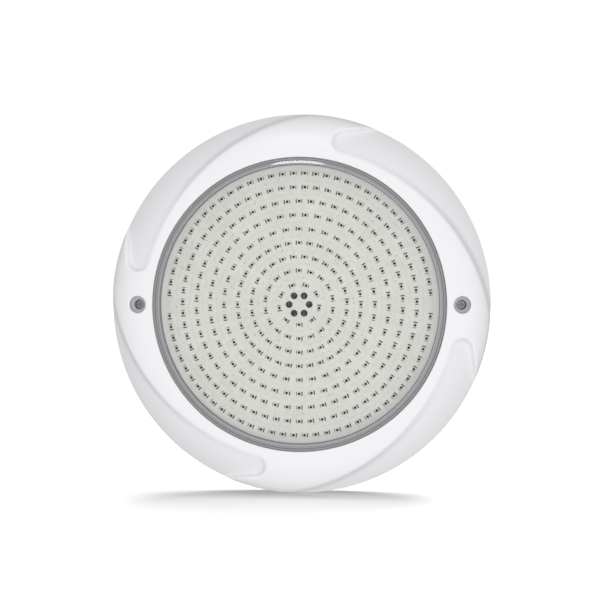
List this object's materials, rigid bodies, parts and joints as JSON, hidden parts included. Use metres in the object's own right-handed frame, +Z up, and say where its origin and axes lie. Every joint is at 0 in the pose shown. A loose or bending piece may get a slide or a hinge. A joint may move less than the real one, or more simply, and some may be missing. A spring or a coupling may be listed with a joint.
{
  "type": "underwater pool light",
  "caption": "Round flat wall-mounted underwater light: bezel with swirling scoops, clear lens over a board of light chips, sealed rear housing with cable gland, and wall bracket.",
  "frame": {"origin": "centre of the wall bracket's back face, on the wall plane", "axes": "-Y out of the wall towards the water, along the lamp's axis; +Z up; +X to the right as seen from the water"},
  "size_m": [0.29, 0.037, 0.29],
  "materials": {
    "bezel_plastic": "white glossy UV-stable ABS",
    "lens_clear": "clear polycarbonate",
    "seal_rubber": "black silicone rubber",
    "ring_plastic": "grey satin moulded plastic",
    "housing_plastic": "off-white moulded ABS, satin",
    "screw_steel": "stainless steel, turned",
    "board_white": "white solder mask on an aluminium-core board",
    "led_package": "white moulded chip package with a clear window",
    "solder": "dull grey tin solder",
    "pin_brass": "turned brass",
    "header_plastic": "black glass-filled plastic",
    "board_green": "green solder mask on fibreglass",
    "chip_black": "black moulding compound",
    "chip_ceramic": "brown ceramic with tinned ends",
    "capacitor_can": "drawn aluminium can",
    "inductor_ferrite": "dark grey shielded ferrite",
    "wire_insulation": "soft coloured wire insulation",
    "gland_plastic": "white nylon, fine moulded texture",
    "bracket_plastic": "off-white glass-filled nylon"
  },
  "bodies": {
    "bracket": {"wall_bracket": "bracket_plastic", "bracket_inserts": "pin_brass"},
    "lamp": {"bezel": "bezel_plastic", "lens": "lens_clear", "lens_gasket": "seal_rubber", "board_ring": "ring_plastic", "rear_housing": "housing_plastic", "clamp_screws": "screw_steel", "driver_screws": "screw_steel", "led_board": "board_white", "led_ring_1": "led_package", "led_ring_2": "led_package", "led_ring_3": "led_package", "led_ring_4": "led_package", "led_ring_5": "led_package", "led_ring_6": "led_package", "led_ring_7": "led_package", "led_ring_8": "led_package", "led_ring_9": "led_package", "solder_joints": "solder", "board_pins": "pin_brass", "pin_header": "header_plastic", "driver_board": "board_green", "rectifiers": "chip_black", "driver_chips": "chip_black", "chip_resistors": "chip_ceramic", "capacitors": "capacitor_can", "inductors": "inductor_ferrite", "lead_wires": "wire_insulation", "gland_body": "gland_plastic", "gland_washer": "seal_rubber", "gland_locknut": "gland_plastic", "gland_seal": "seal_rubber"},
    "screw_left": {"fixing_screw_left": "screw_steel"},
    "screw_right": {"fixing_screw_right": "screw_steel"},
    "gland_nut": {"gland_cap": "gland_plastic"}
  },
  "joints": [
    {"name": "lamp_slide", "type": "slide", "parent": "bracket", "child": "lamp", "axis": [0, -1, 0], "range_m": [0, 0.06]},
    {"name": "screw_left_slide", "type": "slide", "parent": "lamp", "child": "screw_left", "axis": [0, -1, 0], "range_m": [0, 0.0105]},
    {"name": "screw_right_slide", "type": "slide", "parent": "lamp", "child": "screw_right", "axis": [0, -1, 0], "range_m": [0, 0.0105]},
    {"name": "gland_cap_turn", "type": "hinge", "parent": "lamp", "child": "gland_nut", "pos_m": [0, -0.005, -0.072], "axis": [0, 1, 0], "range_deg": [0, 300]}
  ]
}
